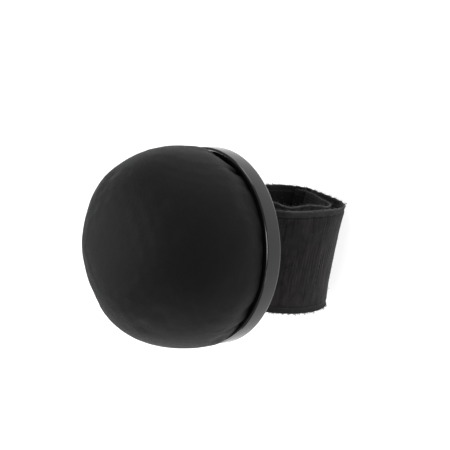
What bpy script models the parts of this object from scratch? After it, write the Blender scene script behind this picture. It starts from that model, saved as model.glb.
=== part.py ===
"""Wrist pincushion: a stuffed dome glued into a shallow tray, on a hook-and-loop wrist strap.

Frame: metres, +Z up through the dome, Y along the strap's width, X across the strap's loop.
The origin is on the tray's axis, on the surface that the loop's flat underside stands on.
The strap leaves two slots in the tray floor. Its outer arm starts at the slot on the -X side and
runs down, along the bottom and up the +X side. Its inner arm starts at the +X slot and runs the
other way inside the outer arm. Each arm is a chain of segments on hinges along Y.
"""

import math

import bmesh
import bpy
from mathutils import Vector

MM = 0.001
GAP = 0.3 * MM  # clearance between neighbouring pieces

# Tray
TRAY_R = 35.0 * MM
TRAY_HEIGHT = 6.7 * MM
TRAY_WALL = 1.3 * MM
TRAY_FLOOR = 1.6 * MM
TRAY_EDGE_R = 0.4 * MM
TRAY_BASE_Z = 45.8 * MM  # underside
TRAY_STEPS = 72
SLOT_X = 12.7 * MM  # middle of each slot
SLOT_WIDTH = 2.8 * MM
SLOT_LENGTH = 42.0 * MM

# Cushion
CUSHION_R = 35.5 * MM  # at its widest, above the lip
CUSHION_WIDEST = 9.8 * MM  # height of the widest ring above the lip
CUSHION_CROWN = 31.1 * MM  # height of the top above the widest ring
CUSHION_SQUARENESS = 2.3  # exponent of the dome's superellipse, where 2 is an ellipse
CUSHION_LIP_R = 33.2 * MM  # where it passes the lip
CUSHION_BASE_R = 30.8 * MM
CUSHION_NECK_SHARES = (0.35, 0.7, 1.0)  # shares of the way from the widest ring to the lip
COVER_THICK = 0.8 * MM
GATHER_HOLE_R = 14.0 * MM
GATHER_THREAD_R = 0.45 * MM
GUARD_THICK = 1.2 * MM
GUARD_R = 30.0 * MM
CUSHION_STEPS = 48
DOME_POINTS = 13
GLUE_DAB_R = 4.5 * MM
GLUE_DAB_TOP_SHARE = 0.8  # its top's radius over its base's
GLUE_DAB_FROM_AXIS = 26.0 * MM
GLUE_DABS = 4

# Strap
STRAP_WIDTH = 38.0 * MM
STRAP_THICK = 1.6 * MM
STRAP_BEND_R = 0.5 * MM  # inside radius where it turns out of a slot onto the tray floor
LOOP_FLAT = (-4.0 * MM, 10.0 * MM)  # the loop stands on this flat run
LOOP_RIGHT_X = 22.8 * MM  # the two-ply side bulges out to here
LOOP_RIGHT_Z = 20.0 * MM
LOOP_RIGHT_RISE = 31.5 * MM  # vertical half-axis of its upper ellipse
LOOP_LEFT_X = 10.3 * MM  # the one-ply side hangs nearly straight, from here up
LOOP_LEFT_Z = 14.0 * MM
LOOP_LEFT_LEAN = 3.2 * MM  # how much further out it is at the tray
LOOP_LEFT_CURVE = 1.6
PLY_STEP = 3.1 * MM  # outer face to inner arm, where the hook patch lies between the arms
PLY_STEP_BARE = 2.1 * MM  # the same, past the patch
PLY_STEP_RUN = (5.0 * MM, 36.0 * MM, 54.0 * MM)  # inner arm: full step from, to, bare step from
INNER_SHIFT_UP = 2.0 * MM  # the inner arm runs a little askew along Y
INNER_SHIFT_BACK = 2.7 * MM
INNER_SHIFT_RUN = (10.0 * MM, 22.0 * MM, 50.0 * MM)
OUTER_END_CLEARANCE = 5.0 * MM  # the outer arm's free end stops this short of the +X slot
INNER_LENGTH = 76.0 * MM  # of loop outline
OUTER_HINGES = [n * MM for n in (7, 21, 34, 46, 62, 78)]  # along the outer arm, from its slot
INNER_HINGES = [n * MM for n in (7, 22, 37, 52)]  # along the inner arm, from its slot
HINGE_GAP = 0.7 * MM
STATION = 1.6 * MM  # spacing of the points along a segment
OUTLINE_STEPS = 80  # points on each of the loop's four stretches
ARM_STEPS = 240  # points along each arm's path
TANGENT_STEP = 0.2 * MM

# Hook patch, on the inner face of the outer arm's last segment
PATCH_THICK = 0.9 * MM
PATCH_WIDTH = 36.0 * MM
PATCH_SPAN = (80.0 * MM, 107.0 * MM)  # along the outer arm
STITCH_ROWS = (81.5 * MM, 105.5 * MM)
STITCH_WIDTH = 34.0 * MM
STITCH_R = 0.25 * MM

LIP_Z = TRAY_BASE_Z + TRAY_HEIGHT
FLOOR_Z = TRAY_BASE_Z + TRAY_FLOOR
BRIDGE_Z = FLOOR_Z + GAP + STRAP_THICK / 2  # middle of the strap where it crosses the tray
COVER_BASE_Z = BRIDGE_Z + STRAP_THICK / 2 + GAP
WIDEST_Z = LIP_Z + CUSHION_WIDEST

COLORS = {  # base colour, roughness
    "tray_plastic": ((0.012, 0.012, 0.013, 1), 0.25),
    "cover_twill": ((0.012, 0.012, 0.013, 1), 0.55),
    "filling": ((0.78, 0.76, 0.7, 1), 0.95),
    "guard_board": ((0.35, 0.35, 0.35, 1), 0.6),
    "thread": ((0.01, 0.01, 0.011, 1), 0.7),
    "glue": ((0.75, 0.62, 0.32, 1), 0.3),
    "strap_tape": ((0.02, 0.018, 0.02, 1), 0.85),
    "hook_tape": ((0.03, 0.03, 0.032, 1), 0.5),
}


# --- scene -----------------------------------------------------------------------------------


def clear_scene():
    for obj in list(bpy.data.objects):
        bpy.data.objects.remove(obj, do_unlink=True)


def new_collection(name):
    collection = bpy.data.collections.new(name)
    bpy.context.scene.collection.children.link(collection)
    return collection


def new_material(name, color, roughness):
    material = bpy.data.materials.new(name)
    material.use_nodes = True
    shader = material.node_tree.nodes["Principled BSDF"]
    shader.inputs["Base Color"].default_value = color
    shader.inputs["Roughness"].default_value = roughness
    return material


def add_mesh(name, build, slot, parent=None, at=Vector((0, 0, 0))):
    """An object made by build(bm) in world coordinates, with its origin at the point given."""
    bm = bmesh.new()
    build(bm)
    bmesh.ops.translate(bm, verts=bm.verts, vec=-at)
    mesh = bpy.data.meshes.new(name)
    bm.to_mesh(mesh)
    bm.free()
    mesh.materials.append(materials[slot])
    obj = bpy.data.objects.new(name, mesh)
    parts.objects.link(obj)
    if parent is None:
        obj.location = at
    else:
        obj.parent = parent
    return obj


def smooth(obj, sharp_degrees=35):
    obj.data.shade_smooth()
    obj.data.set_sharp_from_angle(angle=math.radians(sharp_degrees))


# --- turned shapes ---------------------------------------------------------------------------


def turned(name, profile, slot, steps):
    """Profile points (radius, z) turned about Z. They run down the outer side, top to bottom."""

    def build(bm):
        points = [bm.verts.new((r, 0, z)) for r, z in profile]
        for a, b in zip(points, points[1:]):
            bm.edges.new((a, b))

    obj = add_mesh(name, build, slot)
    screw = obj.modifiers.new("turn", "SCREW")
    screw.axis = "Z"
    screw.angle = 2 * math.pi
    screw.steps = screw.render_steps = steps
    screw.use_merge_vertices = True
    screw.merge_threshold = 0.01 * MM
    screw.use_smooth_shade = True
    return obj


def smoothstep(x, low, high):
    t = min(1, max(0, (x - low) / (high - low)))
    return t * t * (3 - 2 * t)


# --- tray ------------------------------------------------------------------------------------


def make_tray():
    inner_r = TRAY_R - TRAY_WALL
    profile = [
        (0, FLOOR_Z),
        (inner_r, FLOOR_Z),
        (inner_r, LIP_Z),
        (TRAY_R, LIP_Z),
        (TRAY_R, TRAY_BASE_Z),
        (0, TRAY_BASE_Z),
    ]
    tray = turned("tray", profile, "tray_plastic", TRAY_STEPS)
    bevel = tray.modifiers.new("round_edges", "BEVEL")
    bevel.width = TRAY_EDGE_R
    bevel.segments = 2
    bevel.limit_method = "ANGLE"
    bevel.angle_limit = math.radians(50)
    for side in (-1, 1):
        cutter = make_slot_cutter(side)
        cut = tray.modifiers.new("slot", "BOOLEAN")
        cut.operation = "DIFFERENCE"
        cut.object = cutter
    return tray


def make_slot_cutter(side):
    bm = bmesh.new()
    bmesh.ops.create_cube(bm, size=1)
    through = 4 * TRAY_FLOOR
    bmesh.ops.scale(bm, verts=bm.verts, vec=(SLOT_WIDTH, SLOT_LENGTH, through))
    mesh = bpy.data.meshes.new("slot_cutter")
    bm.to_mesh(mesh)
    bm.free()
    cutter = bpy.data.objects.new("slot_cutter", mesh)
    cutter.location = (side * SLOT_X, 0, TRAY_BASE_Z + TRAY_FLOOR / 2)
    cutter.hide_render = True
    cutter.display_type = "WIRE"
    cutters.objects.link(cutter)
    return cutter


# --- cushion ---------------------------------------------------------------------------------


def dome_profile(inset, base_z):
    """The cushion's outline (radius, z) from its top down to base_z, moved inwards by inset."""
    points = []
    for i in range(DOME_POINTS):
        angle = math.pi / 2 * (1 - i / (DOME_POINTS - 1))
        r = (CUSHION_R - inset) * math.cos(angle) ** (2 / CUSHION_SQUARENESS)
        z = WIDEST_Z + (CUSHION_CROWN - inset) * math.sin(angle) ** (2 / CUSHION_SQUARENESS)
        points.append((0 if i == 0 else r, z))
    for drop in CUSHION_NECK_SHARES:
        r = CUSHION_R - inset - (CUSHION_R - CUSHION_LIP_R) * drop**2
        points.append((r, WIDEST_Z - CUSHION_WIDEST * drop))
    points.append((CUSHION_BASE_R + COVER_THICK - inset, base_z + COVER_THICK))
    points.append((CUSHION_BASE_R - inset, base_z))
    return points


def make_cover():
    """A shell that is open at the gathered hole in its underside."""
    outside = dome_profile(0, COVER_BASE_Z)
    outside.append((GATHER_HOLE_R, COVER_BASE_Z))
    inside = dome_profile(COVER_THICK, COVER_BASE_Z + COVER_THICK)
    inside.append((GATHER_HOLE_R, COVER_BASE_Z + COVER_THICK))
    return turned("cushion_cover", outside + inside[::-1], "cover_twill", CUSHION_STEPS)


def make_cushion_inside():
    guard_z = COVER_BASE_Z + COVER_THICK + GAP
    guard_top = guard_z + GUARD_THICK
    profile = [(0, guard_top), (GUARD_R, guard_top), (GUARD_R, guard_z), (0, guard_z)]
    turned("guard_disc", profile, "guard_board", CUSHION_STEPS)
    stuffing_z = guard_top + GAP
    body = dome_profile(COVER_THICK + GAP, COVER_BASE_Z + COVER_THICK)[:-2]
    foot_r = body[-1][0] - COVER_THICK
    profile = [point for point in body if point[1] > stuffing_z + COVER_THICK]
    profile += [(foot_r, stuffing_z), (0, stuffing_z)]
    turned("stuffing", profile, "filling", CUSHION_STEPS)


def make_gather_thread():
    """The drawn thread that closes the cover's hole, as a ring just inside it."""
    ring_r = GATHER_HOLE_R - GAP - GATHER_THREAD_R
    curve = bpy.data.curves.new("gather_thread", "CURVE")
    curve.dimensions = "3D"
    curve.bevel_depth = GATHER_THREAD_R
    curve.bevel_resolution = 1
    spline = curve.splines.new("POLY")
    spline.points.add(CUSHION_STEPS - 1)
    for i, point in enumerate(spline.points):
        angle = 2 * math.pi * i / CUSHION_STEPS
        point.co = (ring_r * math.cos(angle), ring_r * math.sin(angle), 0, 1)
    spline.use_cyclic_u = True
    curve.materials.append(materials["thread"])
    ring = bpy.data.objects.new("gather_thread", curve)
    ring.location = (0, 0, COVER_BASE_Z + COVER_THICK / 2)
    parts.objects.link(ring)


def make_glue_dabs():
    """Four flat dabs between the tray floor and the gathered underside, clear of the strap."""
    for i in range(GLUE_DABS):
        angle = 2 * math.pi * i / GLUE_DABS
        x = GLUE_DAB_FROM_AXIS * math.cos(angle)
        y = GLUE_DAB_FROM_AXIS * math.sin(angle)

        def build(bm, at=Vector((x, y, BRIDGE_Z))):
            bmesh.ops.create_cone(
                bm,
                cap_ends=True,
                segments=20,
                radius1=GLUE_DAB_R,
                radius2=GLUE_DAB_TOP_SHARE * GLUE_DAB_R,
                depth=STRAP_THICK,
            )
            bmesh.ops.translate(bm, verts=bm.verts, vec=at)

        smooth(add_mesh(f"glue_dab_{i + 1}", build, "glue"))


# --- strap -----------------------------------------------------------------------------------


def loop_outline():
    """The loop's outer face (x, z): from the -X slot down, along the bottom and up to the +X slot."""
    count = OUTLINE_STEPS
    top = TRAY_BASE_Z - GAP
    flat_start, flat_end = LOOP_FLAT
    points = []
    for i in range(count):
        share = 1 - i / count
        x = -LOOP_LEFT_X - LOOP_LEFT_LEAN * share**LOOP_LEFT_CURVE
        points.append(Vector((x, LOOP_LEFT_Z + (top - LOOP_LEFT_Z) * share)))
    for i in range(count + 1):
        angle = math.pi / 2 * i / count
        x = flat_start - (LOOP_LEFT_X + flat_start) * math.cos(angle)
        points.append(Vector((x, LOOP_LEFT_Z * (1 - math.sin(angle)))))
    for i in range(count + 1):
        angle = math.pi / 2 * i / count
        x = flat_end + (LOOP_RIGHT_X - flat_end) * math.sin(angle)
        points.append(Vector((x, LOOP_RIGHT_Z * (1 - math.cos(angle)))))
    slot_angle = math.asin((top - LOOP_RIGHT_Z) / LOOP_RIGHT_RISE)
    for i in range(1, count + 1):
        angle = slot_angle * i / count
        x = LOOP_RIGHT_X * math.cos(angle)
        points.append(Vector((x, LOOP_RIGHT_Z + LOOP_RIGHT_RISE * math.sin(angle))))
    return points


class Path:
    """A curve through points in the XZ plane, read by the distance along it."""

    def __init__(self, points):
        self.points = points
        self.along = [0.0]
        for a, b in zip(points, points[1:]):
            self.along.append(self.along[-1] + (b - a).length)
        self.length = self.along[-1]

    def at(self, s):
        s = min(max(s, 0), self.length)
        i = 1
        while i < len(self.along) - 1 and self.along[i] < s:
            i += 1
        low, high = self.along[i - 1], self.along[i]
        return self.points[i - 1].lerp(self.points[i], (s - low) / (high - low))

    def tangent(self, s):
        return (self.at(s + TANGENT_STEP) - self.at(s - TANGENT_STEP)).normalized()


def offset_path(outline, start, end, offset):
    """The outline from start to end, moved into the loop by offset(distance from start)."""
    points = []
    for i in range(ARM_STEPS + 1):
        s = start + (end - start) * i / ARM_STEPS
        tangent = outline.tangent(s)
        inward = Vector((-tangent.y, tangent.x))
        points.append(outline.at(s) + inward * offset(abs(s - start)))
    return Path(points)


def inner_ply_step(run):
    """Distance from the loop's outer face to the inner arm's outer face, at run from its slot."""
    full, to, bare = PLY_STEP_RUN
    ease = smoothstep(run, to, bare)
    return PLY_STEP * min(1, run / full) * (1 - ease) + PLY_STEP_BARE * ease


def inner_shift(run):
    """How far the inner arm has drifted along Y, at run from its slot."""
    up, start, end = INNER_SHIFT_RUN
    return INNER_SHIFT_UP * smoothstep(run, 0, up) - INNER_SHIFT_BACK * smoothstep(run, start, end)


def outer_arm_path():
    outline = Path(loop_outline())
    end = outline.length - OUTER_END_CLEARANCE
    return offset_path(outline, 0, end, lambda run: STRAP_THICK / 2)


def inner_arm_path():
    outline = Path(loop_outline())
    end = outline.length - INNER_LENGTH
    return offset_path(
        outline, outline.length, end, lambda run: inner_ply_step(run) + STRAP_THICK / 2
    )


def patch_path():
    """The middle of the hook patch, on the same distances as the outer arm's path."""
    arm = outer_arm_path()
    depth = STRAP_THICK / 2 + GAP + PATCH_THICK / 2
    points = []
    for s in arm.along:
        tangent = arm.tangent(s)
        points.append(arm.at(s) + Vector((-tangent.y, tangent.x)) * depth)
    return points, arm


def strip(name, points, slot, width, thickness, parent=None, at=Vector((0, 0, 0))):
    """A flat tape: points (x, z, shift along Y) down its middle, made solid by Solidify."""

    def build(bm):
        rows = []
        for x, z, shift in points:
            edge = [bm.verts.new((x, shift + side * width / 2, z)) for side in (-1, 1)]
            rows.append(edge)
        for a, b in zip(rows, rows[1:]):
            bm.faces.new((a[0], a[1], b[1], b[0]))

    obj = add_mesh(name, build, slot, parent, at)
    solid = obj.modifiers.new("thickness", "SOLIDIFY")
    solid.thickness = thickness
    solid.offset = 0
    solid.use_even_offset = True
    smooth(obj)
    return obj


def stations(low, high):
    count = max(2, round((high - low) / STATION))
    return [low + (high - low) * i / count for i in range(count + 1)]


def make_arm(name, path, hinges, shift):
    """One arm as an anchor at its slot and a segment on each hinge. Returns the hinge empties."""
    ends = [0, *hinges, path.length]
    parent = None
    parent_point = Vector((0, 0, 0))
    empties = []
    for i in range(len(ends) - 1):
        low = ends[i] + (HINGE_GAP / 2 if i else 0)
        high = ends[i + 1] - (HINGE_GAP / 2 if i < len(hinges) else 0)
        points = [(*path.at(s), shift(s)) for s in stations(low, high)]
        if i == 0:
            strip(f"{name}_anchor", points, "strap_tape", STRAP_WIDTH, STRAP_THICK)
            continue
        x, z = path.at(hinges[i - 1])
        point = Vector((x, 0, z))
        empty = bpy.data.objects.new(f"{name}_hinge_{i}", None)
        empty.empty_display_size = 3 * MM
        empty.location = point - parent_point
        empty.parent = parent
        parts.objects.link(empty)
        parent, parent_point = empty, point
        empties.append(empty)
        segment = f"{name}_segment_{i}"
        strip(segment, points, "strap_tape", STRAP_WIDTH, STRAP_THICK, empty, point)
    return empties, point


def make_bridge():
    """The strap where it comes up through one slot, crosses the tray floor and goes down again."""
    bend = STRAP_THICK / 2 + STRAP_BEND_R
    half = [Vector((-SLOT_X, TRAY_BASE_Z))]
    steps = 4
    for i in range(steps + 1):
        angle = math.pi / 2 * i / steps
        x = -SLOT_X + bend * (1 - math.cos(angle))
        half.append(Vector((x, BRIDGE_Z - bend * (1 - math.sin(angle)))))
    points = half + [Vector((-p.x, p.y)) for p in reversed(half)]
    strip("strap_bridge", [(p.x, p.y, 0) for p in points], "strap_tape", STRAP_WIDTH, STRAP_THICK)


def make_hook_patch(parent, at):
    points, arm = patch_path()
    middle = Path(points)
    scale = middle.length / arm.length
    low, high = PATCH_SPAN
    line = [(*middle.at(s * scale), 0) for s in stations(low, high)]
    strip("hook_patch", line, "hook_tape", PATCH_WIDTH, PATCH_THICK, parent, at)


def make_patch_stitching(parent, at):
    """Two sewn rows on the outer face, over the hook patch's ends."""
    arm = outer_arm_path()
    for i, s in enumerate(STITCH_ROWS):
        tangent = arm.tangent(s)
        outward = Vector((tangent.y, -tangent.x))
        x, z = arm.at(s) + outward * (STRAP_THICK / 2 + GAP + STITCH_R)
        curve = bpy.data.curves.new("stitching", "CURVE")
        curve.dimensions = "3D"
        curve.bevel_depth = STITCH_R
        curve.bevel_resolution = 1
        curve.use_fill_caps = True
        spline = curve.splines.new("POLY")
        spline.points.add(1)
        for point, side in zip(spline.points, (-1, 1)):
            point.co = (0, side * STITCH_WIDTH / 2, 0, 1)
        curve.materials.append(materials["thread"])
        row = bpy.data.objects.new(f"patch_stitching_{i + 1}", curve)
        row.location = Vector((x, 0, z)) - at
        row.parent = parent
        parts.objects.link(row)


def make_strap():
    make_bridge()
    outer, last_point = make_arm("outer_strap", outer_arm_path(), OUTER_HINGES, lambda run: 0)
    make_arm("inner_strap", inner_arm_path(), INNER_HINGES, inner_shift)
    make_hook_patch(outer[-1], last_point)
    make_patch_stitching(outer[-1], last_point)


clear_scene()
parts = new_collection("wrist_pincushion")
cutters = new_collection("cutters")
materials = {slot: new_material(slot, *look) for slot, look in COLORS.items()}
make_tray()
make_cover()
make_cushion_inside()
make_gather_thread()
make_glue_dabs()
make_strap()
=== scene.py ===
# The looks of a wrist pincushion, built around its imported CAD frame. Lengths are in metres, in the
# CAD's own frame: +Z up through the dome, Y along the strap's width, +X towards the side where the
# strap's two plies lie on each other. UV maps hold distances on the cloth in millimetres.

import math
import random

import bmesh
import bpy
import numpy as np
from mathutils import Matrix, Vector


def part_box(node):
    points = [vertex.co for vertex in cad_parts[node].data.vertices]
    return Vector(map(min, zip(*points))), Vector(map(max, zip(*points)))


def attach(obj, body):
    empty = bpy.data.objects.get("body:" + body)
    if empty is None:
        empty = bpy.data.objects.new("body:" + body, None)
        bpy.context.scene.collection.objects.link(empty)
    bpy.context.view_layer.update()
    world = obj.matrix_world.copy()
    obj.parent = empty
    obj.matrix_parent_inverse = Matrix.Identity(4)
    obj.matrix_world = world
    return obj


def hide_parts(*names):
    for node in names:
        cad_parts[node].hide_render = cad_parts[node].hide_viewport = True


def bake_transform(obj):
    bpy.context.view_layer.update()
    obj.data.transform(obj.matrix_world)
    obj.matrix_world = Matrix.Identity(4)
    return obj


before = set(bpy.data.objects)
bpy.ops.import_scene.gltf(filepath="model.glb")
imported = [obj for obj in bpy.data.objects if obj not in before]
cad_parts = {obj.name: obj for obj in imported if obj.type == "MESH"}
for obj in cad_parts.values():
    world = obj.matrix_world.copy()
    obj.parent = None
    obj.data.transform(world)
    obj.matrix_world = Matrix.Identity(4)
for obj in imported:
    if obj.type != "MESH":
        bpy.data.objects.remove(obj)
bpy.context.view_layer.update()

MM = 0.001

# Tray, as in the CAD
TRAY_LOW, TRAY_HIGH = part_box("tray")
TRAY_R = TRAY_HIGH.x
LIP_Z = TRAY_HIGH.z
TRAY_BASE_Z = TRAY_LOW.z
TRAY_WALL = 1.3 * MM
TRAY_FLOOR = 1.6 * MM
SLOT_X = 12.7 * MM
SLOT_SIZE = (2.8 * MM, 42.0 * MM)

# Tray, finer than the CAD
LIP_BEAD = 0.85 * MM  # how far the lip swells inwards from the wall
LIP_BEAD_RISE = ((3.2, 0.0), (2.4, 0.3), (1.5, 0.85))  # depth under the lip in mm, bead's share
LIP_ROUND = 0.35 * MM  # radius of the lip's inner edge
LIP_SLOPE = (1.45 * MM, 0.75 * MM)  # width and height of the lip's rounded outer edge
BASE_ROUND = 1.2 * MM
FLOOR_FILLET = 0.8 * MM
SLOT_ROUND = 1.0 * MM
TRAY_STEPS = 288
TRAY_SHARP_DEGREES = 40

# Cushion, as in the CAD, apart from the foot, which is wider here
COVER_LOW, COVER_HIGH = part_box("cushion_cover")
CUSHION_R = 35.5 * MM
WIDEST_Z = LIP_Z + 9.8 * MM
CUSHION_CROWN = COVER_HIGH.z - WIDEST_Z
CUSHION_SQUARENESS = 2.3
CUSHION_LIP_R = 33.2 * MM
CUSHION_BASE_R = 32.2 * MM
GATHER_HOLE_R = 14.0 * MM
COVER_THICK = 0.45 * MM

# Cushion, finer than the CAD
BLANK_INSET = 0.6 * MM  # how far inside the CAD's dome the cover is before it is blown up
BLANK_VOXEL = 2.2 * MM
CLOTH_FRAMES = 20
CLOTH_REACH = 1.6 * MM  # the furthest that the cloth simulation can move a point
UNDERSIDE = 1.2 * MM  # how far above its lowest point the cover counts as its underside
PLEATS = 46
PLEAT_DEPTH = 0.35 * MM
CLOTH_MAP_R = 33.5  # mm on the cloth for each radian down from the dome's top
FILLING_INSET = 1.6 * MM

# Strap, as in the CAD
STRAP_WIDTH = 38.0 * MM
EDGE_Y = STRAP_WIDTH / 2
STRAP_THICK = 1.6 * MM
LOOP_FLAT = (-4.0 * MM, 10.0 * MM)
LOOP_RIGHT_X = 22.8 * MM
LOOP_RIGHT_Z = 20.0 * MM
LOOP_RIGHT_RISE = 31.5 * MM
LOOP_LEFT_X = 10.3 * MM
LOOP_LEFT_Z = 14.0 * MM
LOOP_LEFT_LEAN = 3.2 * MM
LOOP_LEFT_CURVE = 1.6
PLY_STEP = 3.1 * MM
PLY_STEP_BARE = 2.1 * MM
PLY_STEP_RUN = (5.0 * MM, 36.0 * MM, 54.0 * MM)
OUTER_END_CLEARANCE = 5.0 * MM
INNER_LENGTH = 76.0 * MM
OUTER_HINGES = [n * MM for n in (7, 21, 34, 46, 62, 78)]
INNER_HINGES = [n * MM for n in (7, 22, 37, 52)]
PATCH_SPAN = (80.0 * MM, 107.0 * MM)
PATCH_WIDTH = 36.0 * MM
STITCH_ROWS = (81.5 * MM, 105.5 * MM)

# Strap, finer than the CAD
RIB_PITCH = 1.3 * MM
STATIONS_PER_RIB = 6
RIB_DEPTH_OUT, RIB_DEPTH_IN = 0.065 * MM, 0.03 * MM  # on the face out of the loop, and into it
PILE_SINK = 0.06 * MM  # how far the pile's tops lie under the CAD's face
SELVAGE = 2.2 * MM
SELVAGE_BLEND = 0.25 * MM
SELVAGE_RISE = 0.42 * MM  # half the thickness of the woven edge
SELVAGE_WORN = 0.2 * MM  # more on the lower edge, where the pile has spread over it
EDGE_ROUND = 0.45 * MM
END_TAPER = (0.1 * MM, 3.5 * MM)
THIN_SHARE = 0.12  # what is left of the thickness at the very edge or end
OUTER_SEED, INNER_SEED = 11, 23
FUZZ_PER_MM = 22
FUZZ_R = 0.05 * MM
HOOK_BACKING = 0.35 * MM
HOOK_PITCH = (1.25 * MM, 1.2 * MM)  # along the tape, and across it
STITCH_LENGTH, STITCH_PITCH = 1.7 * MM, 2.1 * MM
STITCH_SPAN = (-16.2 * MM, 15.6 * MM)

# Studio
FLOOR_Z = -2.2 * MM  # the opened inner arm swings this far below the face that the loop stands on
FLOOR_HALF = 3
FLOOR_GLOW = 0.86
WORLD_STRENGTH = 0.45
LIGHTS = (  # name, place, aim, diameter in m, power in W
    ("overhead", (-0.48, -0.08, 0.6), (0, 0, LIP_Z), 0.5, 3.9),
    ("softbox", (0.22, 0.07, 0.62), (0, 0, LIP_Z), 0.24, 1.1),
    ("rim_card", (0.78, -0.2, 0.32), (0, 0, LIP_Z), 0.26, 0.9),
    ("floor_wash_left", (0.0, -0.3, 0.12), (0.0, -0.12, 0), 0.15, 0.35),
    ("floor_wash_right", (-0.03, 0.3, 0.12), (-0.02, 0.12, 0), 0.15, 0.4),
)
CAMERA_FORWARD = (-0.7277, -0.2828, -0.6249)
CAMERA_UP = (-0.3283, 0.9435, -0.0446)
CAMERA_DISTANCE = 0.5
CAMERA_LENS = 112.95
CAMERA_SENSOR = 36
CAMERA_SHIFT = (0.0518, 0.0464)


# --- mesh and node helpers ---------------------------------------------------------------------


def link(obj):
    bpy.context.scene.collection.objects.link(obj)
    return obj


def mesh_object(name, points, faces, material, sharp_degrees=55, uv=None):
    """A mesh object with outward normals. uv holds one (u, v) for each point."""
    mesh = bpy.data.meshes.new(name)
    mesh.from_pydata(np.asarray(points, float).tolist(), [], faces)
    bm = bmesh.new()
    bm.from_mesh(mesh)
    if uv is not None:
        layer = bm.loops.layers.uv.new("cloth")
        for face in bm.faces:
            for loop in face.loops:
                loop[layer].uv = uv[loop.vert.index]
    bmesh.ops.recalc_face_normals(bm, faces=bm.faces)
    bm.to_mesh(mesh)
    bm.free()
    mesh.shade_smooth()
    mesh.set_sharp_from_angle(angle=math.radians(sharp_degrees))
    mesh.materials.append(material)
    return link(bpy.data.objects.new(name, mesh))


def baked(obj, name):
    """A plain mesh object of the evaluated one, which is removed with its modifiers."""
    graph = bpy.context.evaluated_depsgraph_get()
    mesh = bpy.data.meshes.new_from_object(obj.evaluated_get(graph))
    mesh.name = name
    new = link(bpy.data.objects.new(name, mesh))
    new.matrix_world = obj.matrix_world.copy()
    bpy.data.objects.remove(obj, do_unlink=True)
    new.name = name
    return new


def turned_points(profile, steps):
    """Points and faces of a closed profile (radius, z) turned about Z. Radius 0 is one pole."""
    points, rings = [], []
    for r, z in profile:
        if r < 1e-9:
            rings.append([len(points)])
            points.append((0, 0, z))
            continue
        ring = []
        for i in range(steps):
            angle = 2 * math.pi * i / steps
            ring.append(len(points))
            points.append((r * math.cos(angle), r * math.sin(angle), z))
        rings.append(ring)
    faces = []
    for a, b in zip(rings, rings[1:]):
        for i in range(steps):
            k = (i + 1) % steps
            if len(a) == 1:
                faces.append((a[0], b[i], b[k]))
            elif len(b) == 1:
                faces.append((a[i], b[0], a[k]))
            else:
                faces.append((a[i], b[i], b[k], a[k]))
    return points, faces


def arc(centre, radius, start, end, count=6):
    """Profile points on an arc, from start to end in degrees, where 0 points outwards."""
    points = []
    for i in range(count + 1):
        angle = math.radians(start + (end - start) * i / count)
        points.append((centre[0] + radius * math.cos(angle), centre[1] + radius * math.sin(angle)))
    return points


def smoothstep(x, low, high):
    t = np.clip((x - low) / (high - low), 0, 1)
    return t * t * (3 - 2 * t)


def ripple(u, v, seed):
    """A smooth uneven field from about -1 to 1 with features about one unit across."""
    chance = np.random.RandomState(seed)
    waves = 5
    total = 0
    for _ in range(waves):
        angle = chance.uniform(0, 2 * math.pi)
        pace = chance.uniform(2.0, 5.0)
        phase = chance.uniform(0, 2 * math.pi)
        total = total + np.sin(pace * (u * math.cos(angle) + v * math.sin(angle)) + phase)
    return total / waves * 1.5


class Shader:
    """A Principled material whose nodes are added one by one."""

    def __init__(self, name, **values):
        self.material = bpy.data.materials.new(name)
        self.material.use_nodes = True
        self.tree = self.material.node_tree
        self.shader = self.tree.nodes["Principled BSDF"]
        for key, value in values.items():
            socket = key.replace("_", " ").title().replace("Ior", "IOR")
            self.shader.inputs[socket].default_value = value

    def node(self, kind, inputs=None, **settings):
        made = self.tree.nodes.new("ShaderNode" + kind)
        for key, value in settings.items():
            setattr(made, key, value)
        for key, value in (inputs or {}).items():
            if isinstance(value, bpy.types.NodeSocket):
                self.tree.links.new(value, made.inputs[key])
            else:
                made.inputs[key].default_value = value
        return made

    def math(self, operation, a, b=0.0):
        return self.node("Math", {0: a, 1: b}, operation=operation).outputs[0]

    def wave(self, operation, along, pitch):
        """SINE or COSINE of a distance, repeating at each pitch."""
        return self.math(operation, self.math("MULTIPLY", along, 2 * math.pi / pitch))

    def noise(self, where, scale, detail=3.0, roughness=0.55):
        inputs = {"Vector": where, "Scale": scale, "Detail": detail, "Roughness": roughness}
        return self.node("TexNoise", inputs).outputs["Fac"]

    def ramp(self, value, low, high, to_low, to_high):
        """value from low..high mapped to to_low..to_high."""
        inputs = {0: value, 1: low, 2: high, 3: to_low, 4: to_high}
        return self.node("MapRange", inputs).outputs[0]

    def mix(self, share, a, b):
        """Colour a at share 0, and colour b at share 1."""
        return self.node("Mix", {0: share, 6: a, 7: b}, data_type="RGBA").outputs[2]

    def place(self):
        return self.node("TexCoord").outputs["Object"]

    def cloth(self):
        """u and v on the cloth, in millimetres, and the two as one vector."""
        vector = self.node("UVMap", uv_map="cloth").outputs["UV"]
        split = self.node("SeparateXYZ", {0: vector})
        return split.outputs[0], split.outputs[1], vector

    def set(self, key, value):
        self.tree.links.new(value, self.shader.inputs[key])

    def bump(self, height, distance, strength=1.0, under=None):
        inputs = {"Height": height, "Distance": distance, "Strength": strength}
        made = self.node("Bump", inputs)
        if under is not None:
            self.tree.links.new(under, made.inputs["Normal"])
        self.set("Normal", made.outputs[0])
        return made.outputs[0]


# --- materials ---------------------------------------------------------------------------------


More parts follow.
